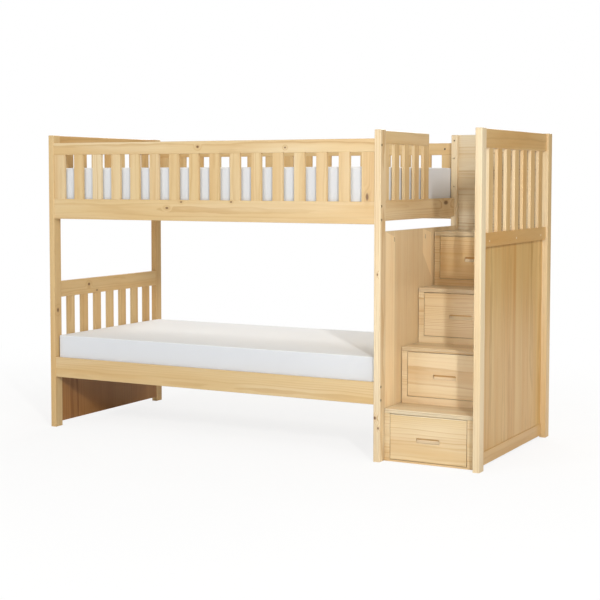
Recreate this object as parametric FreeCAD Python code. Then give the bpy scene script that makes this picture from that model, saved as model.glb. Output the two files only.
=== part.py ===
import FreeCAD, Part
import math
import os

# Twin-over-twin bunk bed with a storage stair at its right end.
# Millimetres. X runs along the bed, left to right. -Y is the front. +Z is up.
# The origin is on the floor, at the middle of the whole footprint.

# ---- Mattresses and the clear space that they need
mattress_length = 1939.0
mattress_width = 991.0
mattress_thickness = 196.0
mattress_end_gap = 2.0
mattress_side_gap = 10.5
mattress_front_gap = 2.0
mattress_corner_radius = 9.0
mattress_edge_inset = 4.0
mattress_edge_height = 6.0
mattress_draw_in = 4.0
mattress_crown_height = 4.0
mattress_crown_inset = 210.0

# ---- Posts
post_width = 34.0
post_depth = 60.0
post_height = 1620.0
post_edge_radius = 3.0

# ---- Long rails and the guard above the upper rail
rail_thickness = 22.0
rail_recess = 3.0
rail_edge_radius = 2.5
side_rail_height = 110.0
upper_rail_bottom = 1161.0
lower_rail_bottom = 281.0
guard_rail_height = 65.0
guard_rail_drop = 43.0
slat_width = 59.0
slat_thickness = 17.0
slat_edge_radius = 1.5
guard_slat_count = 14
guard_end_board_width = 71.0

# ---- Mattress supports
upper_mattress_bottom = 1245.0
lower_mattress_bottom = 317.0
support_slat_count = 13
support_slat_width = 70.0
support_slat_thickness = 18.0
support_slat_end_gap = 2.0
cleat_size = 20.0
cleat_end_gap = 30.0

# ---- End frames
end_rail_thickness = 22.0
end_rail_outer_step = 11.0
end_slat_count = 7
end_top_rail_height = 91.0
end_top_rail_drop = 2.0
end_bed_rail_bottom = 1176.0
end_bed_rail_height = 101.0
headboard_top = 812.0
headboard_rail_height = 89.0
headboard_low_rail_bottom = 330.0
headboard_low_rail_height = 90.0
headboard_panel_bottom = 26.0
panel_thickness = 18.0

# ---- Guard at the right end of the upper bed, beside the way in
entry_guard_thickness = 18.0
entry_guard_rail_height = 63.0
entry_guard_top_drop = 4.0
entry_guard_slat_count = 3
entry_guard_stile_width = 76.0
entry_guard_end_board_width = 66.0
entry_guard_slat_gap = 66.0

# ---- Stair bay: inner panel, outer end frame, back panel
inner_panel_top = 1125.0
inner_panel_bottom = 12.0
inner_panel_recess = 2.0
hanging_slot_width = 9.0
hanging_slot_height = 24.0
hanging_slot_top_drop = 30.0
hanging_slot_positions = (110.0, 505.0)
carcass_post_gap = 2.0
carcass_panel_gap = 4.0
outer_panel_overlap = 5.0
outer_mid_rail_bottom = 1061.0
outer_mid_rail_height = 66.0
outer_mid_rail_thickness = 18.0
outer_mid_rail_corner_radius = 12.0
outer_bottom_rail_bottom = 11.0
outer_bottom_rail_height = 65.0
plug_diameter = 9.0
plug_depth = 6.0
plug_stand_out = 0.8
plug_count = 3
plug_end_distance = 82.0
plug_drop = 40.0
back_panel_setback = 24.0
back_panel_bottom = 12.0
back_carcass_gap = 4.0

# ---- Steps and drawers
step_count = 4
first_tread_top = 258.0
step_rise = 282.0
step_going = 211.0
stair_front_setback = 52.0
tread_thickness = 22.0
tread_edge_radius = 3.0
frame_thickness = 20.0
stile_width = 30.0
first_bottom_rail_height = 10.0
bottom_rail_height = 34.0
carcass_side_thickness = 16.0
drawer_front_width = 397.0
drawer_front_gap = 2.0
drawer_front_edge_radius = 3.0
drawer_front_stand_out = 3.0
drawer_box_side_gap = 6.0
drawer_box_lift = 8.0
drawer_rear_gap = 27.0
drawer_box_height = 170.0
drawer_board_thickness = 12.0
drawer_bottom_thickness = 6.0
drawer_bottom_lift = 8.0
drawer_runner_gap = 0.6
runner_height = 16.0
runner_overlap = 14.0
pull_width = 122.0
pull_height = 25.0
pull_end_radius = 7.0
pull_depth = 13.0
pull_flat_height = 9.0
pull_top_above_middle = 5.0

# ---- Bolts that hold the long rails to the posts
bolt_diameter = 6.0
bolt_hole_clearance = 1.0
bolt_head_diameter = 12.0
bolt_head_height = 5.0
bolt_socket_width = 5.0
bolt_socket_depth = 3.0
counterbore_clearance = 2.0
counterbore_depth = 9.0
bolt_length_in_rail = 60.0
bolt_end_distance = 22.0
nut_diameter = 10.0
nut_from_tip = 8.0
nut_length_inset = 3.0
spare_hole_diameter = 9.0
spare_hole_depth = 18.0
spare_hole_drops = (31.0, 127.0, 280.0)

# ---- Derived places along the length, width and height
bed_clear_length = mattress_length + 2 * mattress_end_gap
bed_depth = mattress_width + 2 * (mattress_side_gap + rail_thickness + rail_recess)
drawer_opening_width = drawer_front_width + 2 * drawer_front_gap
carcass_width = drawer_opening_width + 2 * stile_width
stair_bay = carcass_post_gap + carcass_width + carcass_panel_gap + panel_thickness - outer_panel_overlap
overall_length = 3 * post_width + bed_clear_length + stair_bay

left_x = -overall_length / 2
bed_left_inner_x = left_x + post_width
bed_right_inner_x = bed_left_inner_x + bed_clear_length
bed_right_outer_x = bed_right_inner_x + post_width
stair_post_x = bed_right_outer_x + stair_bay
front_y = -bed_depth / 2
rear_y = bed_depth / 2
end_span_start = front_y + post_depth
end_span_end = rear_y - post_depth
end_span = end_span_end - end_span_start

rail_front_y = front_y + rail_recess
rail_middle_y = rail_front_y + rail_thickness / 2
upper_rail_top = upper_rail_bottom + side_rail_height
lower_rail_top = lower_rail_bottom + side_rail_height
guard_rail_top = post_height - guard_rail_drop
guard_rail_bottom = guard_rail_top - guard_rail_height
end_top_rail_top = post_height - end_top_rail_drop
end_top_rail_bottom = end_top_rail_top - end_top_rail_height
end_bed_rail_top = end_bed_rail_bottom + end_bed_rail_height

left_end_x = left_x + end_rail_outer_step
left_end_inner_x = left_end_x + end_rail_thickness
outer_end_x = left_x + overall_length - end_rail_outer_step
outer_panel_x = stair_post_x + outer_panel_overlap
outer_mid_rail_top = outer_mid_rail_bottom + outer_mid_rail_height
carcass_left_x = bed_right_outer_x + carcass_post_gap
carcass_right_x = carcass_left_x + carcass_width
drawer_middle_x = (carcass_left_x + carcass_right_x) / 2
back_panel_y = end_span_end + back_panel_setback
carcass_rear_y = back_panel_y - back_carcass_gap
top_step_front_y = front_y + stair_front_setback + (step_count - 1) * step_going
drawer_box_length = carcass_rear_y - drawer_rear_gap - top_step_front_y - frame_thickness
small_cut = 1.0


def vec(x, y, z):
    return FreeCAD.Vector(x, y, z)


def board(x0, x1, y0, y1, z0, z1, radius=0.0):
    """A board between two corners, with every edge eased by the radius."""
    solid = Part.makeBox(x1 - x0, y1 - y0, z1 - z0, vec(x0, y0, z0))
    if radius > 0:
        limit = 0.45 * min(x1 - x0, y1 - y0, z1 - z0)
        solid = solid.makeFillet(min(radius, limit), solid.Edges)
    return solid


def eased_along(x0, x1, y0, y1, z0, z1, axis, radius):
    """A board whose long edges, those along the axis, are eased, and whose ends are square."""
    solid = Part.makeBox(x1 - x0, y1 - y0, z1 - z0, vec(x0, y0, z0))
    edges = []
    for edge in solid.Edges:
        way = edge.Vertexes[1].Point - edge.Vertexes[0].Point
        way = (abs(way.x), abs(way.y), abs(way.z))
        if way.index(max(way)) == axis:
            edges.append(edge)
    limit = 0.45 * min(x1 - x0, y1 - y0, z1 - z0)
    return solid.makeFillet(min(radius, limit), edges)


def rod(centre, axis, diameter, length):
    return Part.makeCylinder(diameter / 2, length, centre, axis)


def even_starts(first, last, width, count):
    """Starts of equal pieces that share equal gaps between two walls."""
    gap = (last - first - count * width) / (count + 1)
    return [first + gap + i * (width + gap) for i in range(count)]


def mirrored_y(shape):
    return shape.mirror(vec(0, 0, 0), vec(0, 1, 0))


def save(name, solids):
    shape = solids[0] if len(solids) == 1 else Part.makeCompound(solids)
    if not shape.isValid():
        raise ValueError(name + " is not a valid shape")
    shape.exportStep("parts/" + name + ".step")
    print(name, len(solids), "solid(s)", round(sum(s.Volume for s in solids) / 1000.0, 1), "cm3")


# ---- Posts, with the bolt holes of the long rails
def bolt_heights():
    low = [lower_rail_bottom + bolt_end_distance, lower_rail_top - bolt_end_distance]
    high = [upper_rail_bottom + bolt_end_distance, upper_rail_top - bolt_end_distance]
    return low + high + [(guard_rail_bottom + guard_rail_top) / 2]


def plain_post(x, y):
    post = Part.makeBox(post_width, post_depth, post_height, vec(x, y, 0))
    sides = [e for e in post.Edges if abs(e.Vertexes[0].Z - e.Vertexes[1].Z) > small_cut]
    tops = [e for e in post.Edges if min(v.Z for v in e.Vertexes) > post_height / 2]
    return post.makeFillet(post_edge_radius, sides + tops)


def bolt_place(outer_x, inward, y, z):
    """Point on the outer face of a post and the direction into the rail."""
    return vec(outer_x, y, z), vec(inward, 0, 0)


def drilled(post, outer_x, inward, y):
    for z in bolt_heights():
        place, way = bolt_place(outer_x, inward, y, z)
        hole = rod(place, way, bolt_diameter + bolt_hole_clearance, post_width)
        sink = rod(place, way, bolt_head_diameter + counterbore_clearance, counterbore_depth)
        post = post.cut(hole).cut(sink)
    return post


def bolt_spots():
    """Outer face X, direction into the rail, and Y, for the four bed posts."""
    return [
        (left_x, 1, rail_middle_y),
        (left_x, 1, -rail_middle_y),
        (bed_right_outer_x, -1, rail_middle_y),
        (bed_right_outer_x, -1, -rail_middle_y),
    ]


def make_posts():
    spots = bolt_spots()
    rear = end_span_end
    save("post_left_front", [drilled(plain_post(left_x, front_y), *spots[0])])
    save("post_left_rear", [drilled(plain_post(left_x, rear), *spots[1])])
    save("post_mid_front", [drilled(plain_post(bed_right_inner_x, front_y), *spots[2])])
    mid_rear = drilled(plain_post(bed_right_inner_x, rear), *spots[3])
    for drop in spare_hole_drops:
        place = vec(bed_right_inner_x + post_width / 2, rear, post_height - drop)
        mid_rear = mid_rear.cut(rod(place, vec(0, 1, 0), spare_hole_diameter, spare_hole_depth))
    save("post_mid_rear", [mid_rear])
    save("post_stair_front", [plain_post(stair_post_x, front_y)])
    save("post_stair_rear", [plain_post(stair_post_x, rear)])


# ---- Long rails, bolted at both ends
def bolt_reach():
    return post_width + bolt_length_in_rail


def nut_distance():
    return bolt_length_in_rail - nut_from_tip


def long_rail(bottom, height, heights):
    """Front rail between the bed posts, bored for its bolts and nuts."""
    y0 = rail_front_y
    y1 = rail_front_y + rail_thickness
    rail = eased_along(bed_left_inner_x, bed_right_inner_x, y0, y1, bottom, bottom + height, 0, rail_edge_radius)
    for end_x, inward in ((bed_left_inner_x, 1), (bed_right_inner_x, -1)):
        for z in heights:
            way = vec(inward, 0, 0)
            bore = rod(vec(end_x, rail_middle_y, z), way, bolt_diameter + bolt_hole_clearance,
                       bolt_length_in_rail + small_cut)
            nut_x = end_x + inward * nut_distance()
            pocket = rod(vec(nut_x, y1, z), vec(0, -1, 0), nut_diameter + bolt_hole_clearance,
                         rail_thickness - nut_length_inset + small_cut)
            rail = rail.cut(bore).cut(pocket)
    return rail


def make_long_rails():
    heights = bolt_heights()
    lower = long_rail(lower_rail_bottom, side_rail_height, heights[0:2])
    upper = long_rail(upper_rail_bottom, side_rail_height, heights[2:4])
    guard = long_rail(guard_rail_bottom, guard_rail_height, heights[4:5])
    for name, rail in (("lower_side_rail", lower), ("upper_side_rail", upper), ("guard_top_rail", guard)):
        save("front_" + name, [rail])
        save("rear_" + name, [mirrored_y(rail)])


def make_guard_slats():
    y0 = rail_middle_y - slat_thickness / 2
    y1 = rail_middle_y + slat_thickness / 2
    first = bed_left_inner_x + guard_end_board_width
    last = bed_right_inner_x - guard_end_board_width
    starts = even_starts(first, last, slat_width, guard_slat_count)
    slats = [eased_along(x, x + slat_width, y0, y1, upper_rail_top, guard_rail_bottom, 2, slat_edge_radius)
             for x in starts]
    ends = [eased_along(x0, x1, y0, y1, upper_rail_top, guard_rail_bottom, 2, slat_edge_radius)
            for x0, x1 in ((bed_left_inner_x, first), (last, bed_right_inner_x))]
    boards = ends[:1] + slats + ends[1:]
    save("front_guard_boards", boards)
    save("rear_guard_boards", [mirrored_y(s) for s in boards])


def hex_socket(centre, way):
    """The six-sided hole in a bolt head, with its mouth at the centre given."""
    radius = bolt_socket_width / math.sqrt(3)
    corners = []
    for i in range(7):
        turn = math.radians(60 * i)
        corners.append(centre + vec(0, radius * math.cos(turn), radius * math.sin(turn)))
    return Part.Face(Part.makePolygon(corners)).extrude(way * bolt_socket_depth)


def make_bolts():
    bolts = []
    nuts = []
    nut_y = rail_front_y + nut_length_inset
    for outer_x, inward, y in bolt_spots():
        for z in bolt_heights():
            way = vec(inward, 0, 0)
            seat = vec(outer_x + inward * counterbore_depth, y, z)
            head = rod(seat, vec(-inward, 0, 0), bolt_head_diameter, bolt_head_height)
            shank = rod(seat, way, bolt_diameter, bolt_reach() - counterbore_depth - 1.5 * nut_from_tip)
            socket = hex_socket(seat - way * bolt_head_height, way)
            bolts.append(head.fuse(shank).removeSplitter().cut(socket))
            nut_x = outer_x + inward * (post_width + nut_distance())
            side = -1 if y < 0 else 1
            start = vec(nut_x, nut_y if side < 0 else -nut_y, z)
            nut = rod(start, vec(0, -side, 0), nut_diameter, rail_thickness - 2 * nut_length_inset)
            nuts.append(nut.cut(rod(seat, way, bolt_diameter, bolt_reach())))
    save("rail_bolts", bolts)
    save("barrel_nuts", nuts)


# ---- Mattress supports
def make_supports():
    inner_y = rail_front_y + rail_thickness
    slat_y = inner_y + support_slat_end_gap
    starts = even_starts(bed_left_inner_x, bed_right_inner_x, support_slat_width, support_slat_count)
    for name, top in (("upper", upper_mattress_bottom), ("lower", lower_mattress_bottom)):
        bottom = top - support_slat_thickness
        slats = [eased_along(x, x + support_slat_width, slat_y, -slat_y, bottom, top, 1, slat_edge_radius)
                 for x in starts]
        cleat = board(bed_left_inner_x + cleat_end_gap, bed_right_inner_x - cleat_end_gap,
                      inner_y, inner_y + cleat_size, bottom - cleat_size, bottom)
        save(name + "_bed_slats", slats)
        save(name + "_slat_cleats", [cleat, mirrored_y(cleat)])


def rounded_outline(length, width, radius, draw_in, z):
    """A closed outline with round corners and sides that pull in a little between them."""
    half_l = length / 2
    half_w = width / 2
    turn = radius * (1 - math.sqrt(0.5))
    right_start = vec(half_l, -half_w + radius, z)
    right_end = vec(half_l, half_w - radius, z)
    top_start = vec(half_l - radius, half_w, z)
    top_end = vec(-half_l + radius, half_w, z)
    left_start = vec(-half_l, half_w - radius, z)
    left_end = vec(-half_l, -half_w + radius, z)
    low_start = vec(-half_l + radius, -half_w, z)
    low_end = vec(half_l - radius, -half_w, z)
    edges = [
        Part.Arc(right_start, vec(half_l - draw_in, 0, z), right_end),
        Part.Arc(right_end, vec(half_l - turn, half_w - turn, z), top_start),
        Part.Arc(top_start, vec(0, half_w - draw_in, z), top_end),
        Part.Arc(top_end, vec(-half_l + turn, half_w - turn, z), left_start),
        Part.Arc(left_start, vec(-half_l + draw_in, 0, z), left_end),
        Part.Arc(left_end, vec(-half_l + turn, -half_w + turn, z), low_start),
        Part.Arc(low_start, vec(0, -half_w + draw_in, z), low_end),
        Part.Arc(low_end, vec(half_l - turn, -half_w + turn, z), right_start),
    ]
    return Part.Wire([edge.toShape() for edge in edges])


def mattress(bottom):
    """Flat underneath, rounded rims, drawn-in sides and a low crown on top."""
    crown_base = mattress_thickness - mattress_crown_height
    rim = mattress_edge_height
    levels = [
        (0.0, mattress_edge_inset),
        (0.3 * rim, 0.35 * mattress_edge_inset),
        (rim, 0.0),
        (crown_base - rim, 0.0),
        (crown_base - 0.3 * rim, 0.35 * mattress_edge_inset),
        (crown_base, mattress_edge_inset),
        (mattress_thickness, mattress_edge_inset + mattress_crown_inset),
    ]
    wires = []
    for z, inset in levels:
        wires.append(rounded_outline(mattress_length - 2 * inset, mattress_width - 2 * inset,
                                     mattress_corner_radius, mattress_draw_in, bottom + z))
    solid = Part.makeLoft(wires, True, True)
    middle_x = (bed_left_inner_x + bed_right_inner_x) / 2
    front_push = mattress_side_gap - mattress_front_gap
    return solid.translated(vec(middle_x, -front_push, 0))


def make_mattresses():
    save("upper_mattress", [mattress(upper_mattress_bottom)])
    save("lower_mattress", [mattress(lower_mattress_bottom)])


# ---- End frames: boards that run front to rear between two posts
def cross_rail(x0, x1, bottom, top, y0=end_span_start, y1=end_span_end):
    return eased_along(x0, x1, y0, y1, bottom, top, 1, rail_edge_radius)


def end_slats(x0, x1, bottom, top, starts):
    return [eased_along(x0, x1, y, y + slat_width, bottom, top, 2, slat_edge_radius) for y in starts]


def make_left_end():
    x0 = left_end_x
    x1 = left_end_inner_x
    middle = (x0 + x1) / 2
    s0 = middle - slat_thickness / 2
    s1 = middle + slat_thickness / 2
    starts = even_starts(end_span_start, end_span_end, slat_width, end_slat_count)
    save("left_end_top_rail", [cross_rail(x0, x1, end_top_rail_bottom, end_top_rail_top)])
    save("left_end_slats", end_slats(s0, s1, end_bed_rail_top, end_top_rail_bottom, starts))
    save("left_end_bed_rail", [cross_rail(x0, x1, end_bed_rail_bottom, end_bed_rail_top)])
    low_rail_top = headboard_low_rail_bottom + headboard_low_rail_height
    rail_bottom = headboard_top - headboard_rail_height
    save("headboard_top_rail", [cross_rail(x0, x1, rail_bottom, headboard_top)])
    save("headboard_slats", end_slats(s0, s1, low_rail_top, rail_bottom, starts))
    save("headboard_low_rail", [cross_rail(x0, x1, headboard_low_rail_bottom, low_rail_top)])
    save("headboard_panel", [board(x1 - panel_thickness, x1, end_span_start, end_span_end,
                                   headboard_panel_bottom, headboard_low_rail_bottom)])


def make_entry_end():
    x0 = bed_right_inner_x
    x1 = x0 + entry_guard_thickness
    middle = (x0 + x1) / 2
    s0 = middle - slat_thickness / 2
    s1 = middle + slat_thickness / 2
    top = post_height - entry_guard_top_drop
    rail_bottom = top - entry_guard_rail_height
    stile_end = end_span_start + entry_guard_stile_width
    pitch = slat_width + entry_guard_slat_gap
    starts = [stile_end + entry_guard_slat_gap + i * pitch for i in range(entry_guard_slat_count)]
    board_start = stile_end + entry_guard_slat_gap + entry_guard_slat_count * pitch
    guard_end = board_start + entry_guard_end_board_width
    stile, end_board = [eased_along(s0, s1, a, b, end_bed_rail_top, rail_bottom, 2, slat_edge_radius)
                        for a, b in ((end_span_start, stile_end), (board_start, guard_end))]
    slats = end_slats(s0, s1, end_bed_rail_top, rail_bottom, starts)
    save("entry_guard_top_rail", [cross_rail(x0, x1, rail_bottom, top, end_span_start, guard_end)])
    save("entry_guard_boards", [stile] + slats + [end_board])
    save("right_end_bed_rail", [cross_rail(x0, x1, end_bed_rail_bottom, end_bed_rail_top)])


def make_inner_panel():
    x1 = bed_right_outer_x - inner_panel_recess
    x0 = x1 - panel_thickness
    panel = board(x0, x1, end_span_start, end_span_end, inner_panel_bottom, inner_panel_top)
    half_run = (hanging_slot_height - hanging_slot_width) / 2
    z_middle = inner_panel_top - hanging_slot_top_drop - hanging_slot_height / 2
    for offset in hanging_slot_positions:
        y = end_span_start + offset
        slot = Part.makeBox(panel_thickness, hanging_slot_width, 2 * half_run,
                            vec(x0, y - hanging_slot_width / 2, z_middle - half_run))
        for z in (z_middle - half_run, z_middle + half_run):
            slot = slot.fuse(rod(vec(x0, y, z), vec(1, 0, 0), hanging_slot_width, panel_thickness))
        panel = panel.cut(slot)
    save("stair_inner_panel", [panel])


def make_outer_end():
    x1 = outer_end_x
    x0 = x1 - end_rail_thickness
    rail_inner_x = outer_panel_x
    rail_outer_x = rail_inner_x + outer_mid_rail_thickness
    slat_middle = rail_inner_x + outer_mid_rail_thickness / 2
    s0 = slat_middle - slat_thickness / 2
    s1 = slat_middle + slat_thickness / 2
    panel_x = outer_panel_x - panel_thickness
    bottom_rail_top = outer_bottom_rail_bottom + outer_bottom_rail_height
    starts = even_starts(end_span_start, end_span_end, slat_width, end_slat_count)
    save("outer_end_top_rail", [cross_rail(x0, x1, end_top_rail_bottom, end_top_rail_top)])
    save("outer_end_slats", end_slats(s0, s1, outer_mid_rail_top, end_top_rail_bottom, starts))

    rail = Part.makeBox(outer_mid_rail_thickness, end_span, outer_mid_rail_height,
                        vec(rail_inner_x, end_span_start, outer_mid_rail_bottom))
    corners = []
    for edge in rail.Edges:
        low = max(v.Z for v in edge.Vertexes) < outer_mid_rail_bottom + small_cut
        along_x = abs(edge.Vertexes[0].X - edge.Vertexes[1].X) > small_cut
        if low and along_x:
            corners.append(edge)
    rail = rail.makeFillet(outer_mid_rail_corner_radius, corners)
    plug_z = outer_mid_rail_top - plug_drop
    plug_run = (end_span - 2 * plug_end_distance) / (plug_count - 1)
    plugs = []
    for i in range(plug_count):
        y = end_span_start + plug_end_distance + i * plug_run
        seat = vec(rail_outer_x - plug_depth, y, plug_z)
        rail = rail.cut(rod(seat, vec(1, 0, 0), plug_diameter, plug_depth + small_cut))
        plug = rod(seat, vec(1, 0, 0), plug_diameter, plug_depth + plug_stand_out)
        face_edges = [e for e in plug.Edges if min(v.X for v in e.Vertexes) > rail_outer_x]
        plugs.append(plug.makeFillet(plug_stand_out * 0.8, face_edges))
    save("outer_end_mid_rail", [rail])
    save("screw_plugs", plugs)

    save("outer_end_panel", [board(panel_x, outer_panel_x, end_span_start, end_span_end,
                                   bottom_rail_top, outer_mid_rail_top)])
    save("outer_end_bottom_rail", [cross_rail(panel_x, panel_x + end_rail_thickness,
                                              outer_bottom_rail_bottom, bottom_rail_top)])


def make_back_panel():
    save("stair_back_panel", [board(bed_right_outer_x, stair_post_x, back_panel_y, back_panel_y + panel_thickness,
                                    back_panel_bottom, post_height)])


# ---- Steps: each is a box with a face frame, two sides and a tread
def step_levels(index):
    """Floor of the box, underside of its tread, and its front face."""
    tread_top = first_tread_top + index * step_rise
    floor = tread_top - step_rise if index > 0 else 0.0
    return floor, tread_top - tread_thickness, front_y + stair_front_setback + index * step_going


def opening_bottom(index):
    floor = step_levels(index)[0]
    return floor + (bottom_rail_height if index > 0 else first_bottom_rail_height)


def make_steps():
    left_sides = []
    right_sides = []
    for index in range(step_count):
        floor, ceiling, front = step_levels(index)
        back = front + frame_thickness
        inner_left = carcass_left_x + stile_width
        inner_right = carcass_right_x - stile_width
        left = board(carcass_left_x, inner_left, front, back, floor, ceiling)
        right = board(inner_right, carcass_right_x, front, back, floor, ceiling)
        low = board(inner_left, inner_right, front, back, floor, opening_bottom(index))
        save("step_%d_face_frame" % (index + 1), [left, right, low])
        tread = eased_along(carcass_left_x, carcass_right_x, front, carcass_rear_y,
                            ceiling, ceiling + tread_thickness, 0, tread_edge_radius)
        save("step_%d_tread" % (index + 1), [tread])
        left_sides.append(board(carcass_left_x, carcass_left_x + carcass_side_thickness,
                                back, carcass_rear_y, floor, ceiling))
        right_sides.append(board(carcass_right_x - carcass_side_thickness, carcass_right_x,
                                 back, carcass_rear_y, floor, ceiling))
    save("stair_left_sides", left_sides)
    save("stair_right_sides", right_sides)


def drawer_box_span():
    half = drawer_opening_width / 2 - drawer_box_side_gap
    return drawer_middle_x - half, drawer_middle_x + half


def make_runners():
    """Strips under and over the drawer sides, screwed to the sides of the steps."""
    strips = []
    box_left, box_right = drawer_box_span()
    wall_left = carcass_left_x + carcass_side_thickness
    wall_right = carcass_right_x - carcass_side_thickness
    for index in range(step_count):
        front = step_levels(index)[2] + frame_thickness
        box_bottom = opening_bottom(index) + drawer_box_lift
        box_top = box_bottom + drawer_box_height
        rear = front + drawer_box_length
        low = (box_bottom - drawer_runner_gap - runner_height, box_bottom - drawer_runner_gap)
        high = (box_top + drawer_runner_gap, box_top + drawer_runner_gap + runner_height)
        for z0, z1 in (low, high):
            bottom = max(z0, step_levels(index)[0])
            strips.append(board(wall_left, box_left + runner_overlap, front, rear, bottom, z1))
            strips.append(board(box_right - runner_overlap, wall_right, front, rear, bottom, z1))
    save("drawer_runners", strips)


def finger_pull(front, middle_z):
    """The routed slot: a flat-backed top that fingers hook into, and a slope up to the face below it."""
    top = middle_z + pull_top_above_middle
    bottom = top - pull_height
    slot = Part.makeBox(pull_width, pull_depth, pull_height,
                        vec(drawer_middle_x - pull_width / 2, front, bottom))
    corners = [edge for edge in slot.Edges if abs(edge.tangentAt(edge.FirstParameter).y) > 0.5]
    slot = slot.makeFillet(pull_end_radius, corners)
    x0 = drawer_middle_x - pull_width / 2 - small_cut
    points = [
        vec(x0, front - small_cut, top + small_cut),
        vec(x0, front + pull_depth, top + small_cut),
        vec(x0, front + pull_depth, top - pull_flat_height),
        vec(x0, front, bottom),
        vec(x0, front - small_cut, bottom - small_cut),
    ]
    wedge = Part.Face(Part.makePolygon(points + [points[0]])).extrude(vec(pull_width + 2 * small_cut, 0, 0))
    return slot.common(wedge)


def make_drawers():
    box_left, box_right = drawer_box_span()
    thin = drawer_board_thickness
    for index in range(step_count):
        ceiling, front = step_levels(index)[1:]
        back = front + frame_thickness
        z0 = opening_bottom(index) + drawer_front_gap
        z1 = ceiling - drawer_front_gap
        x0 = drawer_middle_x - drawer_front_width / 2
        face_y = front - drawer_front_stand_out
        face = Part.makeBox(drawer_front_width, back - face_y, z1 - z0, vec(x0, face_y, z0))
        rims = [e for e in face.Edges if max(v.Y for v in e.Vertexes) < face_y + small_cut]
        face = face.makeFillet(drawer_front_edge_radius, rims)
        face = face.cut(finger_pull(face_y, (z0 + z1) / 2))
        save("drawer_%d_front" % (index + 1), [face])

        bottom = opening_bottom(index) + drawer_box_lift
        top = bottom + drawer_box_height
        rear = back + drawer_box_length
        floor = bottom + drawer_bottom_lift
        left = board(box_left, box_left + thin, back, rear, bottom, top)
        right = board(box_right - thin, box_right, back, rear, bottom, top)
        tail = board(box_left + thin, box_right - thin, rear - thin, rear, bottom, top)
        base = board(box_left + thin, box_right - thin, back, rear - thin, floor, floor + drawer_bottom_thickness)
        save("drawer_%d_box" % (index + 1), [left, right, tail, base])


os.makedirs("parts", exist_ok=True)
make_posts()
make_long_rails()
make_guard_slats()
make_bolts()
make_supports()
make_mattresses()
make_left_end()
make_entry_end()
make_inner_panel()
make_outer_end()
make_back_panel()
make_steps()
make_runners()
make_drawers()
print("overall", overall_length, bed_depth, post_height)
print("stair post starts at", stair_post_x, "carcass", carcass_left_x, carcass_right_x)
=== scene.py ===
import math
import random

import bmesh
import bpy
from mathutils import Matrix, Vector


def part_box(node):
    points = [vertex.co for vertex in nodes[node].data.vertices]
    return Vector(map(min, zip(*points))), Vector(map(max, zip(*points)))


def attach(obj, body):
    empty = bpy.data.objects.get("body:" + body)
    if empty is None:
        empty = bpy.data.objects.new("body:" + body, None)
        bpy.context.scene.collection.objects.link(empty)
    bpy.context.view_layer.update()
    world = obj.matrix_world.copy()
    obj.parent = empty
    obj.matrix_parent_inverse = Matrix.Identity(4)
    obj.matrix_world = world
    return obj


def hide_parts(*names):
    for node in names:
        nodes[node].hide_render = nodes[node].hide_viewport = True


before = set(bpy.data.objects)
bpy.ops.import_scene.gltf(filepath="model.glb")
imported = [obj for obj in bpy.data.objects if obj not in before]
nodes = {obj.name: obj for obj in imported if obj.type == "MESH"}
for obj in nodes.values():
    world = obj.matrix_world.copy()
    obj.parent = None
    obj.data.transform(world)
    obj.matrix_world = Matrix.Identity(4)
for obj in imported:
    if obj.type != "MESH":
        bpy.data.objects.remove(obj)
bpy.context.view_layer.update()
print("frame loaded,", len(nodes), "nodes")


def hexColour(text):
    # sRGB hex to the linear values that the shaders want
    parts = [int(text[i:i + 2], 16) / 255 for i in (1, 3, 5)]
    return tuple(p / 12.92 if p <= 0.04045 else ((p + 0.055) / 1.055) ** 2.4 for p in parts) + (1.0,)


def addNode(tree, kind, links=None, **settings):
    # one shader node with its settings, values and links; a node as source gives its first live output
    node = tree.nodes.new("ShaderNode" + kind)
    for name, value in settings.items():
        setattr(node, name, value)
    for socket, source in (links or {}).items():
        if isinstance(source, bpy.types.Node):
            source = next(output for output in source.outputs if output.enabled)
        if isinstance(source, bpy.types.NodeSocket):
            tree.links.new(source, node.inputs[socket])
        else:
            node.inputs[socket].default_value = source
    return node


def newMaterial(name):
    material = bpy.data.materials.new(name)
    material.use_nodes = True
    tree = material.node_tree
    tree.nodes.clear()
    shader = addNode(tree, "BsdfPrincipled")
    addNode(tree, "OutputMaterial", {"Surface": shader})
    return material, tree, shader


def newObject(name, bm, material=None):
    # turns a finished bmesh into an object at the origin
    mesh = bpy.data.meshes.new(name)
    bm.to_mesh(mesh)
    bm.free()
    if material:
        mesh.materials.append(material)
    piece = bpy.data.objects.new(name, mesh)
    bpy.context.scene.collection.objects.link(piece)
    return piece


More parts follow.
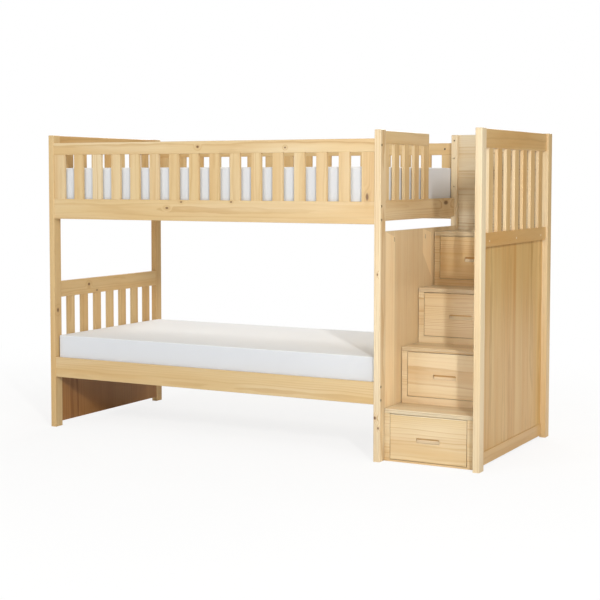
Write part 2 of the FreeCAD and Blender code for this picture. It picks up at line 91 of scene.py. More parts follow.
# Solid pine, planed and sanded, under a clear satin lacquer. The eye gets pale honey wood with soft
# growth rings, straight fibres, a few small brown knots and a low even sheen.
pineLook = {
    "earlywood": "#DCC08E",
    "latewood": "#C29A62",
    "warm": "#C99A5A",
    "pale": "#EFE3C7",
    "knot": "#6B4424",
    "ringSpacing": 0.0078,  # 7.8 mm between growth rings
    "ringDepth": 0.78,  # how far a ring turns to latewood
    "sway": 0.020,  # how far the heart wanders off its line, in metres
    "waver": 1.8,  # how many rings a ring's line may stray by
    "streak": 0.38,  # how far a streak turns warm
    "flush": 0.16,  # how far the tone drifts within a board
    "fibreShade": 0.16,
    "endAndWallDarkening": 0.14,  # how much darker end grain is; times the wall factor, the painted shade in slots and bores
    "seamShade": 0.16,
    "knotBend": 0.010,  # how far a knot pushes the rings, in metres
    "haloShade": 0.30,
    "coreShade": 0.88,
    "roughness": 0.30,
    "shine": 0.35,
    "relief": 0.0004,  # 0.4 mm, deeper than on a real sanded board so that it shows
    # each noise: how often it changes in a metre along, across and into the board, detail, roughness
    "figure": {
        "sway": ((0.9, 5.0, 5.0), 2.0, 0.5),
        "waver": ((2.4, 16.0, 16.0), 3.0, 0.5),
        "fade": ((0.8, 12.0, 12.0), 2.0, 0.5),
        "streak": ((0.7, 15.0, 15.0), 3.0, 0.5),
        "flush": ((1.1, 9.0, 9.0), 2.0, 0.5),
        "fibre": ((9.0, 430.0, 430.0), 4.0, 0.6),  # drawn 2.3 mm wide, as real fibres wouldn't show
    },
}

# Knots: centre in metres, reach along the grain and across it in mm, grain axis
placedKnots = [
    ((0.7228, -0.531, 0.2163), 9, 7, 2),
    ((0.7404, -0.531, 0.1670), 7, 5, 2),
    ((0.7332, -0.531, 0.9181), 7, 4, 2),
    ((1.2625, 0.4130, 0.7070), 14, 10, 2),
    ((1.2625, 0.4030, 0.1800), 6, 5, 2),
    ((-0.2935, -0.528, 1.5470), 9, 7, 0),
    ((0.2223, -0.528, 1.5378), 6, 5, 0),
    ((-0.4852, -0.528, 1.2280), 11, 6, 0),
    ((-0.3960, -0.528, 1.2604), 8, 5, 0),
    ((-0.0923, -0.528, 1.2629), 7, 5, 0),
    ((-1.2295, -0.2145, 0.7771), 12, 9, 1),
    ((-1.2295, -0.1381, 0.7370), 8, 6, 1),
    ((-1.2285, -0.5038, 0.6519), 13, 9, 2),
    ((0.7325, 0.3539, 1.2530), 34, 12, 1),
    ((0.6740, -0.5260, 1.2937), 20, 9, 2),
]


def pineMaterial(name, look, knots=()):
    material, tree, shader = newMaterial(name)
    grain = addNode(tree, "Attribute", attribute_name="grain").outputs["Vector"]
    tone = addNode(tree, "Attribute", attribute_name="tone").outputs["Fac"]
    seam = addNode(tree, "Attribute", attribute_name="seam").outputs["Fac"]
    endGrainAndWallShade = addNode(tree, "Attribute", attribute_name="endGrainAndWallShade").outputs["Fac"]
    place = addNode(tree, "TexCoord").outputs["Object"]
    figure = {}
    for part, (scale, detail, rough) in look["figure"].items():
        along = addNode(tree, "VectorMath", {0: grain, 1: scale}, operation="MULTIPLY")
        figure[part] = addNode(tree, "TexNoise", {"Vector": along, "Scale": 1.0, "Detail": detail,
                                                  "Roughness": rough})

    # knots: a dark core, and a halo that bends the rings round it
    core = halo = 0.0
    for centre, long, wide, axis in knots:
        size = [1000.0 / wide] * 3
        size[axis] = 1000.0 / long
        shift = [-c * s for c, s in zip(centre, size)]
        near = addNode(tree, "Mapping", {"Vector": place, "Scale": size, "Location": shift})
        reach = addNode(tree, "VectorMath", {0: near}, operation="LENGTH")
        inside = addNode(tree, "MapRange", {"Value": reach, "From Min": 1.15, "From Max": 0.55})
        around = addNode(tree, "MapRange", {"Value": reach, "From Min": 4.0, "From Max": 0.4},
                         interpolation_type="SMOOTHERSTEP")
        core = addNode(tree, "Math", {0: core, 1: inside}, operation="MAXIMUM")
        halo = addNode(tree, "Math", {0: halo, 1: around}, operation="MAXIMUM")

    # growth rings round a heart that wanders along the board
    wander = figure["sway"].outputs["Color"]
    wander = addNode(tree, "VectorMath", {0: wander, 1: (0.5, 0.5, 0.5)}, operation="SUBTRACT")
    wander = addNode(tree, "VectorMath", {0: wander, 1: (0.0, look["sway"], look["sway"])},
                     operation="MULTIPLY")
    bent = addNode(tree, "VectorMath", {0: grain, 1: wander}, operation="ADD")
    across = addNode(tree, "VectorMath", {0: bent, 1: (0.0, 1.0, 1.0)}, operation="MULTIPLY")
    radius = addNode(tree, "VectorMath", {0: across}, operation="LENGTH")
    radius = addNode(tree, "Math", {0: halo, 1: look["knotBend"], 2: radius}, operation="MULTIPLY_ADD")
    count = addNode(tree, "Math", {0: radius, 1: look["ringSpacing"]}, operation="DIVIDE")
    count = addNode(tree, "Math", {0: figure["waver"], 1: look["waver"], 2: count},
                    operation="MULTIPLY_ADD")

    # each ring darkens slowly to its latewood line and breaks off; some are fainter, and all fade in places
    within = addNode(tree, "Math", {0: count}, operation="FRACT")
    ring = addNode(tree, "FloatCurve", {"Value": within})
    curve = ring.mapping.curves[0]
    curve.points[0].location = (0.0, 0.10)
    curve.points[1].location = (1.0, 0.10)
    for x, y in ((0.10, 0.0), (0.60, 0.22), (0.88, 1.0)):
        curve.points.new(x, y)
    ring.mapping.update()
    number = addNode(tree, "Math", {0: count}, operation="FLOOR")
    chance = addNode(tree, "TexWhiteNoise", {"W": number}, noise_dimensions="1D")
    strength = addNode(tree, "Math", {0: chance, 1: 0.85, 2: 0.15}, operation="MULTIPLY_ADD")
    fade = addNode(tree, "MapRange", {"Value": figure["fade"], "From Min": 0.35, "From Max": 0.65,
                                      "To Min": 0.25, "To Max": 1.0})
    for part in (strength, fade):
        ring = addNode(tree, "Math", {0: ring, 1: part}, operation="MULTIPLY")

    # tone above nought is pale sapwood, below it warm heartwood
    flush = addNode(tree, "MapRange", {"Value": figure["flush"], "From Min": 0.35, "From Max": 0.65,
                                       "To Min": -look["flush"], "To Max": look["flush"]})
    tone = addNode(tree, "Math", {0: tone, 1: flush}, operation="ADD")
    pale = addNode(tree, "Math", {0: tone, 1: 1.0}, operation="MULTIPLY", use_clamp=True)
    warm = addNode(tree, "Math", {0: tone, 1: -1.0}, operation="MULTIPLY", use_clamp=True)
    streak = addNode(tree, "MapRange", {"Value": figure["streak"], "From Min": 0.42, "From Max": 0.70})
    warm = addNode(tree, "Math", {0: streak, 1: look["streak"], 2: warm}, operation="MULTIPLY_ADD",
                   use_clamp=True)
    late = addNode(tree, "Math", {0: ring, 1: look["ringDepth"]}, operation="MULTIPLY")
    wood = hexColour(look["earlywood"])
    for share, colour in ((pale, "pale"), (warm, "warm"), (late, "latewood")):
        wood = addNode(tree, "Mix", {"Factor": share, "A": wood, "B": hexColour(look[colour])},
                       data_type="RGBA")

    # fibres, end grain and glue lines shade it, the walls of slots and bores get painted shade, and the
    # knots go over that
    shade = addNode(tree, "Math", {0: figure["fibre"], 1: look["fibreShade"],
                                   2: 1.0 - look["fibreShade"] / 2}, operation="MULTIPLY_ADD")
    joint = addNode(tree, "MapRange", {"Value": seam, "From Min": 0.975, "From Max": 1.0})
    for part, depth in ((endGrainAndWallShade, look["endAndWallDarkening"]), (joint, look["seamShade"])):
        loss = addNode(tree, "Math", {0: part, 1: depth}, operation="MULTIPLY")
        shade = addNode(tree, "Math", {0: shade, 1: loss}, operation="SUBTRACT")
    wood = addNode(tree, "VectorMath", {0: wood, "Scale": shade}, operation="SCALE")
    for part, depth, colour in ((halo, look["haloShade"], "latewood"), (core, look["coreShade"], "knot")):
        share = addNode(tree, "Math", {0: part, 1: depth}, operation="MULTIPLY")
        wood = addNode(tree, "Mix", {"Factor": share, "A": wood, "B": hexColour(look[colour])},
                       data_type="RGBA")
    tree.links.new(wood.outputs["Result"], shader.inputs["Base Color"])

    rough = addNode(tree, "Math", {0: figure["fibre"], 1: 0.14, 2: look["roughness"] - 0.07},
                    operation="MULTIPLY_ADD")
    tree.links.new(rough.outputs[0], shader.inputs["Roughness"])
    height = addNode(tree, "Math", {0: ring, 1: -0.5, 2: figure["fibre"]}, operation="MULTIPLY_ADD")
    bump = addNode(tree, "Bump", {"Height": height, "Strength": 0.12, "Distance": look["relief"]})
    tree.links.new(bump.outputs[0], shader.inputs["Normal"])
    shader.inputs["Specular IOR Level"].default_value = look["shine"]
    return material


pine = pineMaterial("pineSatinLacquer", pineLook, placedKnots)

# Bare birch plywood for what is inside the drawers: greyer and duller, with a wide and faint figure
plyLook = dict(pineLook, earlywood="#D6BC93", latewood="#BF9E70", warm="#CBAC80", pale="#E0CBA6",
               ringSpacing=0.011, roughness=0.62, shine=0.25)
ply = pineMaterial("birchPlywood", plyLook)

# Wooden plugs: end grain sanded flush, paler than the rail they sit in
plugLook = dict(pineLook, earlywood="#F6E8CC", latewood="#E4CDA0", warm="#F0DDB8", pale="#FAF0DA")
plugWood = pineMaterial("plugEndGrain", plugLook)
print("wood finishes made")

# Black-oxide steel bolts: dark brown-black heads deep in their holes, a dull metal glint. The grit
# is drawn at 1.1 mm, as the real one wouldn't show.
boltLook = {"dark": "#3A342E", "worn": "#6A6258", "grit": 900.0, "roughness": (0.35, 0.6)}


def boltSteel(look):
    material, tree, shader = newMaterial("blackOxideSteel")
    place = addNode(tree, "TexCoord").outputs["Object"]
    grit = addNode(tree, "TexNoise", {"Vector": place, "Scale": look["grit"], "Detail": 3.0})
    colour = addNode(tree, "Mix", {"Factor": grit, "A": hexColour(look["dark"]),
                                   "B": hexColour(look["worn"])}, data_type="RGBA")
    tree.links.new(colour.outputs["Result"], shader.inputs["Base Color"])
    smooth, rough = look["roughness"]
    dull = addNode(tree, "MapRange", {"Value": grit, "To Min": smooth, "To Max": rough})
    tree.links.new(dull.outputs[0], shader.inputs["Roughness"])
    shader.inputs["Metallic"].default_value = 1.0
    return material


steel = boltSteel(boltLook)

# How a board lies in its log, and which of its faces look different; lengths in metres
boardCut = {
    "heartNear": 0.045,  # least and greatest way from the heart of the log to the board
    "heartFar": 0.13,
    "logLength": 60,
    "sideways": 0.35,  # how far off the heart's line, as a share of a stave's width
    "toneSpread": 0.16,
    "wallInset": 0.004,  # a face across the board and further in than this is the wall of a slot or bore
    "wallPaintedShade": 3.2,  # painted shade: such a wall darkens this many times as much as end grain, as if in the shadow of its hollow
    "pullDepth": 0.008,  # a drawer's front face further in than this is the back of its finger pull
    "flat": 0.9995,  # a face whose normal is this straight is shaded flat
}


def islands(bm):
    # the separate boards in a mesh, each a list of faces, sorted by their low corners
    left = set(bm.faces)
    found = []
    while left:
        group = [left.pop()]
        for face in group:
            for edge in face.edges:
                for other in edge.link_faces:
                    if other in left:
                        left.remove(other)
                        group.append(other)
        found.append(group)

    def lowCorner(group):
        return tuple(round(min(v.co[i] for f in group for v in f.verts), 4) for i in range(3))

    return sorted(found, key=lowCorner)


def faceTone(face, depthIn, look):
    # what a face adds to the tone of its board: a painted highlight on faces turned to the front and on a
    # finger pull's slope, and painted shade at the back of the pull
    if look.get("edge") and face.normal.y < -0.8:
        return look["edge"]  # painted highlight: faces turned to the front are paler, as where the lamps fall on them
    if look.get("routed") and 0.2 < face.normal.z < 0.95:
        return look["routed"]  # painted highlight: the pull's upward slope is paler, as if lit from above
    if look.get("routed") and face.normal.y < -0.9 and depthIn > boardCut["pullDepth"]:
        return -look["routed"]  # painted shade: the back of the pull is darker, as if in the shadow of its top edge
    return 0.0


def grainBoards(bm, look, draw):
    # gives every board its own piece of a tree: where the heart runs, its tone, its staves if glued up
    grainLayer = bm.loops.layers.float_vector.new("grain")
    toneLayer = bm.loops.layers.float.new("tone")
    seamLayer = bm.loops.layers.float.new("seam")
    endAndWallLayer = bm.loops.layers.float.new("endGrainAndWallShade")
    for board in islands(bm):
        points = [v.co for f in board for v in f.verts]
        low = Vector([min(p[i] for p in points) for i in range(3)])
        high = Vector([max(p[i] for p in points) for i in range(3)])
        size = high - low
        middle = (low + high) / 2
        depth, across, along = sorted(range(3), key=lambda i: size[i])
        if look.get("along") is not None and look["along"] != along:
            along, across = look["along"], (set(range(3)) - {look["along"], depth}).pop()
        staves = max(1, round(size[across] / look["stave"])) if look.get("stave") else 1
        width = size[across] / staves
        aside = boardCut["sideways"]
        cuts = []
        for _ in range(staves):
            heart = draw.uniform(boardCut["heartNear"], boardCut["heartFar"]) * draw.choice((-1, 1))
            tone = look.get("tone", 0.0) + draw.uniform(-1, 1) * boardCut["toneSpread"]
            start = draw.uniform(0, boardCut["logLength"])
            cuts.append((start, draw.uniform(-aside, aside) * width, heart, tone))
        for face in board:
            centre = face.calc_center_median()
            k = min(staves - 1, max(0, int((centre[across] - low[across]) / width)))
            start, off, heart, tone = cuts[k]
            tone += faceTone(face, centre.y - low.y, look)
            staveMiddle = low[across] + (k + 0.5) * width
            endAndWallShade = abs(face.normal[along])
            inset = min(min(centre[i] - low[i], high[i] - centre[i]) for i in (across, along))
            # the walls of slots and bores get painted shade, as if in the shadow of their hollows
            if not look.get("routed") and abs(face.normal[depth]) < 0.5 and inset > boardCut["wallInset"]:
                endAndWallShade = boardCut["wallPaintedShade"]
            for loop in face.loops:
                p = loop.vert.co
                loop[grainLayer] = (p[along] - low[along] + start, p[across] - staveMiddle + off,
                                    p[depth] - middle[depth] + heart)
                loop[toneLayer] = tone
                loop[seamLayer] = abs(p[across] - staveMiddle) / (width / 2) if staves > 1 else 0.0
                loop[endAndWallLayer] = endAndWallShade
            face.smooth = max(abs(n) for n in face.normal) < boardCut["flat"]


def cutAcross(bm, axis, at):
    # cuts a mesh right through, square to an axis
    normal = Vector([float(axis == i) for i in range(3)])
    bmesh.ops.bisect_plane(bm, geom=bm.verts[:] + bm.edges[:] + bm.faces[:], dist=1e-6,
                           plane_co=normal * at, plane_no=normal)


def woodPiece(name, node, look, material, body="bed", seed=0):
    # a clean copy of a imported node, cut at its glue lines, with the grain laid out board by board
    bm = bmesh.new()
    bm.from_mesh(nodes[node].data)
    bmesh.ops.remove_doubles(bm, verts=bm.verts, dist=0.00002)
    if look.get("stave"):  # such a panel keeps its triangles, as its slots would close over when cut
        low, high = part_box(node)
        size = high - low
        depth = min(range(3), key=lambda i: size[i])
        across = (set(range(3)) - {look["along"], depth}).pop()
        staves = max(1, round(size[across] / look["stave"]))
        for k in range(1, staves):
            cutAcross(bm, across, low[across] + k * size[across] / staves)
    else:
        bmesh.ops.dissolve_limit(bm, angle_limit=math.radians(0.4), verts=bm.verts, edges=bm.edges)
    grainBoards(bm, look, random.Random(seed * 977 + len(node) * 131 + sum(map(ord, node))))
    piece = newObject(name, bm, material)
    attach(piece, body)
    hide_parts(node)
    return piece


# Posts, rails and slats: the longest side of each board is its grain, and its tone runs from warm
# heartwood (-1) through honey (0) to pale sapwood (+1)
plainBoards = {
    "leftFrontPost": ("post_left_front", -0.05),
    "leftRearPost": ("post_left_rear", -0.25),
    # the posts at the bed's right end and the stair's front post are paler, partly pale wood and partly a
    # painted sheen for the gloss on their fronts
    "bedFrontPost": ("post_mid_front", 0.50),
    "bedRearPost": ("post_mid_rear", 0.65),
    "stairFrontPost": ("post_stair_front", 0.50),
    "stairRearPost": ("post_stair_rear", 0.05),
    "frontLowerSideRail": ("front_lower_side_rail", 0.0),
    "rearLowerSideRail": ("rear_lower_side_rail", -0.1),
    "frontUpperSideRail": ("front_upper_side_rail", 0.05),
    "rearUpperSideRail": ("rear_upper_side_rail", -0.2),
    "frontGuardTopRail": ("front_guard_top_rail", 0.05),
    "rearGuardTopRail": ("rear_guard_top_rail", -0.2),
    "frontGuardBoards": ("front_guard_boards", 0.05),
    "rearGuardBoards": ("rear_guard_boards", -0.2),
    "leftEndTopRail": ("left_end_top_rail", -0.55),
    "leftEndSlats": ("left_end_slats", -0.35),
    "leftEndBedRail": ("left_end_bed_rail", -0.35),
    "headboardTopRail": ("headboard_top_rail", -0.45),
    "headboardSlats": ("headboard_slats", -0.40),
    "headboardLowRail": ("headboard_low_rail", -0.30),
    "entryGuardTopRail": ("entry_guard_top_rail", 0.0),
    "entryGuardBoards": ("entry_guard_boards", 0.05),
    "rightEndBedRail": ("right_end_bed_rail", 0.20),
    "outerEndTopRail": ("outer_end_top_rail", -0.55),
    "outerEndSlats": ("outer_end_slats", -0.35),
    "outerEndMidRail": ("outer_end_mid_rail", -0.60),
    "outerEndBottomRail": ("outer_end_bottom_rail", -0.40),
    "upperBedSlats": ("upper_bed_slats", 0.0),
    "lowerBedSlats": ("lower_bed_slats", 0.0),
    "upperSlatCleats": ("upper_slat_cleats", 0.0),
    "lowerSlatCleats": ("lower_slat_cleats", 0.0),
    "drawerRunners": ("drawer_runners", 0.0),
    "firstFaceFrame": ("step_1_face_frame", 0.45),
    "secondFaceFrame": ("step_2_face_frame", 0.55),
    "thirdFaceFrame": ("step_3_face_frame", 0.60),
    "fourthFaceFrame": ("step_4_face_frame", 0.35),
}

# Boards whose faces turned to the front get a painted highlight, paler than their other faces, and by how
# much tone
frontHighlights = {
    "stairRearPost": 0.4,
    "outerEndSlats": 0.75,
    "entryGuardBoards": 0.35,
    "headboardSlats": 0.25,
    "leftEndSlats": 0.2,
}
for pieceName, (nodeName, tone) in plainBoards.items():
    boardLook = {"tone": tone, "edge": frontHighlights.get(pieceName, 0.0)}
    woodPiece(pieceName, nodeName, boardLook, pine)
print("posts, rails and slats done")

# Panels, treads and sides: grain axis, stave width in metres where glued up, tone
gluedPanels = {
    "stairBackPanel": ("stair_back_panel", {"along": 0, "stave": 0.20, "tone": 0.70}),
    "firstStepTread": ("step_1_tread", {"along": 0, "stave": 0.12, "tone": 0.70}),
    "secondStepTread": ("step_2_tread", {"along": 0, "stave": 0.12, "tone": 0.70}),
    "thirdStepTread": ("step_3_tread", {"along": 0, "stave": 0.12, "tone": 0.75}),
    "fourthStepTread": ("step_4_tread", {"along": 0, "stave": 0.12, "tone": 0.75}),
    "stairLeftSides": ("stair_left_sides", {"along": 1, "tone": 0.3}),
    "stairRightSides": ("stair_right_sides", {"along": 1, "tone": 0.3}),
}
for pieceName, (nodeName, panelLook) in gluedPanels.items():
    woodPiece(pieceName, nodeName, panelLook, pine)

# The panel between bed and stair gets a brighter copy of the pine: painted light that stands in for the
# light bounced round the bay of the stair
litPanelLook = dict(pineLook, earlywood="#F7E0B6", latewood="#E6C594", warm="#EBC998", pale="#F8E6C0")
litPanelPine = pineMaterial("litPanelPineSatinLacquer", litPanelLook)
innerPanelLook = {"along": 2, "stave": 0.118, "tone": 0.1}
woodPiece("stairInnerPanel", "stair_inner_panel", innerPanelLook, litPanelPine)

# The big panel at the outer end is warmer, a toasted yellow with stronger streaks
toastLook = dict(pineLook, earlywood="#E6C484", latewood="#BC8E4C", warm="#D69F56")
toastPine = pineMaterial("toastedPineSatinLacquer", toastLook)
outerPanelLook = {"along": 2, "stave": 0.105, "tone": -0.40}
woodPiece("outerEndPanel", "outer_end_panel", outerPanelLook, toastPine)

# The solid panel low in the headboard gets a darker, more orange copy of the pine: painted shade, as it
# sits in shade under the lower bunk
shadedPanelLook = dict(pineLook, earlywood="#BD8850", latewood="#8E5A2C", warm="#AE773F", pale="#CDA06C")
shadedPanelPine = pineMaterial("shadedPanelPineSatinLacquer", shadedPanelLook)
woodPiece("headboardPanel", "headboard_panel", {"along": 2, "stave": 0.47}, shadedPanelPine)
print("panels and steps done")

# Drawers: the tone of each front, lowest first, and how far the painted highlight and shade in its finger
# pull go
drawerLook = {"tones": (0.35, 0.50, 0.50, 0.30), "routed": 0.9}
for number, tone in enumerate(drawerLook["tones"], 1):
    body = "drawer_%d" % number
    frontLook = {"along": 0, "tone": tone, "routed": drawerLook["routed"]}
    front = woodPiece("drawerFront%d" % number, body + "_front", frontLook, pine, body, number)
    box = woodPiece("drawerBox%d" % number, body + "_box", {}, ply, body, number)
print("drawers done")

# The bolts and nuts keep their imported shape
for nodeName in ("rail_bolts", "barrel_nuts"):
    for materialSlot in nodes[nodeName].material_slots:
        materialSlot.material = steel
woodPiece("screwPlugs", "screw_plugs", {"along": 0}, plugWood)

# Knitted polyester mattress cover, sewn tight over foam: matt cool white, with painted shade that makes it
# a little greyer on its upright sides than on top, and a fine rib that only shows close by. A real rib is 1
# mm and would be lost in the render, so it is drawn at 3 mm.
mattressLook = {
    "cloth": "#EFF2F4",
    "shade": "#E7E9EB",
    "sideShade": "#EFF0F3",  # painted shade that darkens the cover on its upright sides
    "rib": 0.003,
    "rim": 0.006,  # radius of the long top and bottom edges
    "corner": 0.009,  # radius of the upright corners
    "patch": 0.045,  # the cover is divided about this fine
    "crisp": 1.1,  # the outermost cuts lie this many corner radii in from the sides
    "swell": 0.002,  # the furthest the cover may push out
    "pressure": 4.0,
    "stiffness": 15.0,
    "bending": 2.0,
    "frames": 20,
}


def mattressCover(look):
    material, tree, shader = newMaterial("knittedPolyesterCover")
    cloth, shaded, sideShade = (hexColour(look[part]) for part in ("cloth", "shade", "sideShade"))
    place = addNode(tree, "TexCoord").outputs["Object"]
    ribs = addNode(tree, "Mapping", {"Vector": place, "Scale": (1 / look["rib"],) * 3})
    rib = addNode(tree, "TexWave", {"Vector": ribs, "Scale": 0.5, "Distortion": 0.6, "Detail": 2.0},
                  wave_type="BANDS", bands_direction="X").outputs["Fac"]
    thread = addNode(tree, "TexNoise", {"Vector": ribs, "Scale": 1.6, "Detail": 2.0})
    cloud = addNode(tree, "TexNoise", {"Vector": place, "Scale": 2.4, "Detail": 3.0})
    knit = addNode(tree, "Mix", {"Factor": cloud, "A": cloth, "B": shaded}, data_type="RGBA")
    knit = addNode(tree, "Mix", {"Factor": thread, "A": knit, "B": cloth}, data_type="RGBA")
    side = addNode(tree, "Attribute", attribute_name="sideShade").outputs["Fac"]
    shadedSides = addNode(tree, "Mix", {"Factor": side, "A": knit, "B": sideShade}, data_type="RGBA",
                   blend_type="MULTIPLY")
    tree.links.new(shadedSides.outputs["Result"], shader.inputs["Base Color"])
    high = addNode(tree, "Math", {0: rib, 1: thread}, operation="ADD")
    bump = addNode(tree, "Bump", {"Height": high, "Strength": 0.25, "Distance": 0.0006})
    tree.links.new(bump.outputs[0], shader.inputs["Normal"])
    soft = addNode(tree, "MapRange", {"Value": thread, "To Min": 0.82, "To Max": 0.95})
    tree.links.new(soft.outputs[0], shader.inputs["Roughness"])
    shader.inputs["Sheen Weight"].default_value = 0.15
    shader.inputs["Sheen Roughness"].default_value = 0.5
    return material


def rise(edge):
    return abs(edge.verts[0].co.z - edge.verts[1].co.z)


def isRim(edge):
    # a level edge where a side meets the top or the underside
    if rise(edge) >= 1e-5 or len(edge.link_faces) != 2:
        return False
    first, second = (abs(face.normal.z) for face in edge.link_faces)
    return abs(first - second) > 0.5


def mattressShape(name, node, look):
    # a firm block with round rims and corners, a touch smaller than its place so that it can swell
    low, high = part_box(node)
    size = high - low - Vector((1, 1, 0.5)) * look["swell"]
    middle = (low + high) / 2
    middle.z = low.z + size.z / 2
    bm = bmesh.new()
    bmesh.ops.create_cube(bm, size=1.0)
    bmesh.ops.scale(bm, vec=size, verts=bm.verts)
    upright = [e for e in bm.edges if rise(e) > 0.01]
    bmesh.ops.bevel(bm, geom=upright, offset=look["corner"], offset_type="OFFSET", affect="EDGES",
                    segments=6, profile=0.5, material=-1)
    rims = [e for e in bm.edges if isRim(e)]
    bmesh.ops.bevel(bm, geom=rims, offset=look["rim"], offset_type="OFFSET", affect="EDGES",
                    segments=4, profile=0.5, material=-1)
    for axis in range(3):
        steps = round(size[axis] / look["patch"])
        run = size[axis] - 2 * look["crisp"] * look["corner"]
        for k in range(steps + 1):
            cutAcross(bm, axis, (k / steps - 0.5) * run)
    bmesh.ops.translate(bm, vec=middle, verts=bm.verts)
    return newObject(name, bm)


def bake(piece):
    # makes the modifiers part of the mesh
    graph = bpy.context.evaluated_depsgraph_get()
    mesh = bpy.data.meshes.new_from_object(piece.evaluated_get(graph))
    piece.modifiers.clear()
    piece.data = mesh


def swell(piece, look):
    # the foam pushes the cover out, no further than the limit
    rest = [v.co.copy() for v in piece.data.vertices]
    cloth = piece.modifiers.new("foam pressure", "CLOTH")
    cloth.settings.use_pressure = True
    cloth.settings.uniform_pressure_force = look["pressure"]
    cloth.settings.effector_weights.gravity = 0.0
    cloth.settings.tension_stiffness = look["stiffness"]
    cloth.settings.compression_stiffness = look["stiffness"]
    cloth.settings.bending_stiffness = look["bending"]
    cloth.settings.quality = 5
    cloth.point_cache.frame_start = 1
    cloth.point_cache.frame_end = look["frames"]
    scene = bpy.context.scene
    for step in range(1, look["frames"] + 1):
        scene.frame_set(step)
    bake(piece)
    scene.frame_set(1)
    underside = min(p.z for p in rest) + 0.002
    for vertex, start in zip(piece.data.vertices, rest):
        move = vertex.co - start
        if move.length > look["swell"]:
            move = move.normalized() * look["swell"]
        if start.z < underside:
            move.z = 0.0  # the underside stays flat on its slats
        vertex.co = start + move


knitCover = mattressCover(mattressLook)
for pieceName, nodeName in (("lowerMattress", "lower_mattress"), ("upperMattress", "upper_mattress")):
    pad = mattressShape(pieceName, nodeName, mattressLook)
    swell(pad, mattressLook)
    finer = pad.modifiers.new("smooth cover", "SUBSURF")
    finer.levels = finer.render_levels = 1
    sideShade = pad.data.attributes.new("sideShade", "FLOAT", "POINT")  # where the painted side shade goes: 0 on top and below, 1 on the sides
    for vertex in pad.data.vertices:
        sideShade.data[vertex.index].value = 1.0 - min(1.0, max(0.0, 2.5 * abs(vertex.normal.z) - 0.75))
    for face in pad.data.polygons:
        face.use_smooth = True
    pad.data.materials.clear()
    pad.data.materials.append(knitCover)
    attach(pad, "bed")
    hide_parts(nodeName)
print("mattresses done")

# Lamps: place and aim in metres, width and height, watts, and for one its colour and beam in degrees
lamps = {
    "keyLamp": {"place": (5.70, -6.85, 4.00), "aim": (0.95, -0.10, 0.95), "size": (0.36, 1.00),
                "power": 332.0},
    "softLamp": {"place": (-1.4, -5.0, 1.2), "aim": (-0.2, -0.5, 0.9), "size": (1.2, 2.0), "power": 33.0},
    "topLamp": {"place": (-1.2, -5.0, 5.2), "aim": (0.0, 0.0, 0.6), "size": (3.5, 2.5), "power": 45.0},
    "sideLamp": {"place": (6.5, -3.4, 3.7), "aim": (0.9, -0.2, 1.0), "size": (2.5, 2.5), "power": 78.0},
    "backLamp": {"place": (-0.8, 5.2, 4.8), "aim": (0.2, 0.0, 0.6), "size": (4.0, 2.5), "power": 265.0},
    "bayLamp": {"place": (1.9, -5.0, 1.1), "aim": (0.97, 0.10, 0.75), "size": (0.6, 1.2), "power": 0.75,
                "colour": "#FFEBD2", "spread": 26.0},  # warm and narrow, on the bay of the stair
}


def aimAt(holder, place, direction):
    holder.location = place
    holder.rotation_mode = "QUATERNION"
    holder.rotation_quaternion = direction.to_track_quat("-Z", "Y")
    bpy.context.scene.collection.objects.link(holder)


for lampName, lamp in lamps.items():
    light = bpy.data.lights.new(lampName, "AREA")
    light.shape = "RECTANGLE"
    light.size, light.size_y = lamp["size"]
    light.energy = lamp["power"]
    light.spread = math.radians(lamp.get("spread", 180.0))
    light.color = hexColour(lamp.get("colour", "#FFFFFF"))[:3]
    beam = Vector(lamp["aim"]) - Vector(lamp["place"])
    aimAt(bpy.data.objects.new(lampName, light), lamp["place"], beam)

# The air is plain white to the camera, in reflections and through glass, and lights the bed more dimly
airLight = 0.37
world = bpy.data.worlds.new("studioAir")
bpy.context.scene.world = world
world.use_nodes = True
air = world.node_tree
air.nodes.clear()
path = addNode(air, "LightPath").outputs
seen = addNode(air, "Math", {0: path["Is Camera Ray"], 1: path["Is Glossy Ray"]}, operation="MAXIMUM")
seen = addNode(air, "Math", {0: seen, 1: path["Is Transmission Ray"]}, operation="MAXIMUM")
strength = addNode(air, "MapRange", {"Value": seen, "To Min": airLight, "To Max": 1.0})
glow = addNode(air, "Background", {"Color": (1, 1, 1, 1), "Strength": strength})
addNode(air, "OutputWorld", {"Surface": glow})

# Matt white studio floor: it keeps a faint shadow under the bed, and turns plain white to the camera
# further out
floorLook = {
    "paint": "#F4F3F0",
    "dust": "#F1F0ED",
    "size": 40.0,
    "drop": 0.0005,  # how far below the feet
    "fadeFrom": 1.2,  # metres from the middle of the bed
    "fadeTo": 4.5,
    "nearWhite": 0.82,  # how far it is plain white under the bed
}


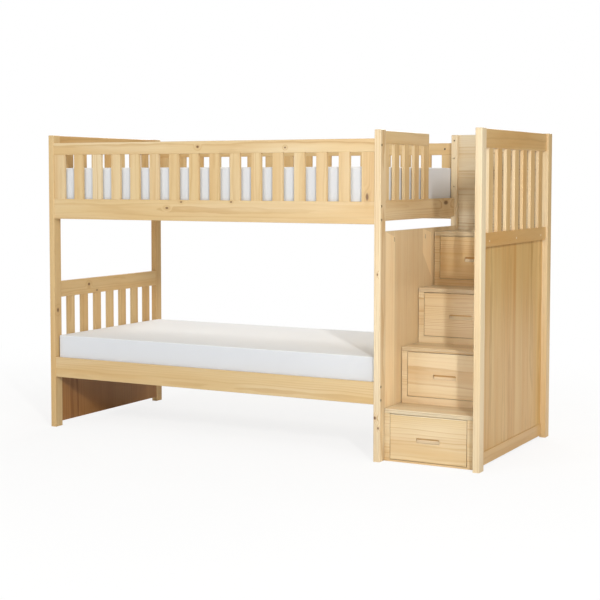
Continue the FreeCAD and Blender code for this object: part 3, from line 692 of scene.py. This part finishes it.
def floorPaint(look):
    material, tree, shader = newMaterial("mattStudioFloor")
    tree.nodes.remove(shader)
    toCamera = addNode(tree, "LightPath").outputs["Is Camera Ray"]
    place = addNode(tree, "TexCoord").outputs["Object"]
    dust = addNode(tree, "TexNoise", {"Vector": place, "Scale": 3.0, "Detail": 2.0})
    paint = addNode(tree, "Mix", {"Factor": dust, "A": hexColour(look["paint"]),
                                  "B": hexColour(look["dust"])}, data_type="RGBA")
    matt = addNode(tree, "BsdfDiffuse", {"Color": paint, "Roughness": 0.5})
    white = addNode(tree, "Emission", {"Color": (1, 1, 1, 1), "Strength": 1.0})
    reach = addNode(tree, "VectorMath", {0: place}, operation="LENGTH")
    fade = addNode(tree, "MapRange", {"Value": reach, "From Min": look["fadeFrom"],
                                      "From Max": look["fadeTo"], "To Min": look["nearWhite"],
                                      "To Max": 1.0}, interpolation_type="SMOOTHSTEP")
    lift = addNode(tree, "Math", {0: toCamera, 1: fade}, operation="MULTIPLY")
    both = addNode(tree, "MixShader", {0: lift, 1: matt, 2: white})
    output = next(node for node in tree.nodes if node.type == "OUTPUT_MATERIAL")
    tree.links.new(both.outputs[0], output.inputs["Surface"])
    return material


bm = bmesh.new()
bmesh.ops.create_grid(bm, x_segments=8, y_segments=8, size=floorLook["size"] / 2)
floor = newObject("floor", bm, floorPaint(floorLook))
floor.location = (0, 0, -floorLook["drop"])

# A black cloth flag behind and to the right, met by reflections alone, so that the lacquer on the
# outer end shows its wood and not a glare
flagLook = {
    "cloth": "#0A0A0A",
    "thread": "#141414",
    "weave": 400.0,  # 2.5 mm threads
    "place": (4.6, 7.2),
    "size": (8.0, 5.0),
}


def flagCloth(look):
    material, tree, shader = newMaterial("blackFlagCloth")
    place = addNode(tree, "TexCoord").outputs["Object"]
    weave = addNode(tree, "TexNoise", {"Vector": place, "Scale": look["weave"]})
    black = addNode(tree, "Mix", {"Factor": weave, "A": hexColour(look["cloth"]),
                                  "B": hexColour(look["thread"])}, data_type="RGBA")
    tree.links.new(black.outputs["Result"], shader.inputs["Base Color"])
    return material


wide, tall = flagLook["size"]
facing = Matrix.Rotation(-math.atan2(*flagLook["place"]), 4, "Z")
upright = facing @ Matrix.Rotation(math.radians(90), 4, "X")
standing = Matrix.Translation((*flagLook["place"], tall / 2)) @ upright
bm = bmesh.new()
bmesh.ops.create_grid(bm, x_segments=1, y_segments=1, size=0.5)
bmesh.ops.scale(bm, vec=(wide, tall, 1), verts=bm.verts)
bmesh.ops.transform(bm, matrix=standing, verts=bm.verts)
flag = newObject("flag", bm, flagCloth(flagLook))
flag.visible_camera = flag.visible_diffuse = flag.visible_shadow = flag.visible_transmission = False

# The camera was solved from the straight edges in the photo
cameraLook = {
    "place": (3.4744, -6.5208, 1.3876),
    "yaw": -28.762,  # degrees, from straight along +Y
    "pitch": -3.550,
    "lens": 81.562,
    "shift": (0.03588, -0.06343),
}
yaw, pitch = math.radians(cameraLook["yaw"]), math.radians(cameraLook["pitch"])
sight = Vector((math.sin(yaw) * math.cos(pitch), math.cos(yaw) * math.cos(pitch), math.sin(pitch)))
camera = bpy.data.cameras.new("camera")
camera.sensor_width = 36.0
camera.lens = cameraLook["lens"]
camera.shift_x, camera.shift_y = cameraLook["shift"]
camera.clip_end = 100.0
eye = bpy.data.objects.new("camera", camera)
aimAt(eye, cameraLook["place"], sight)
bpy.context.scene.camera = eye
bpy.context.scene.view_settings.view_transform = "Standard"
print("studio done")
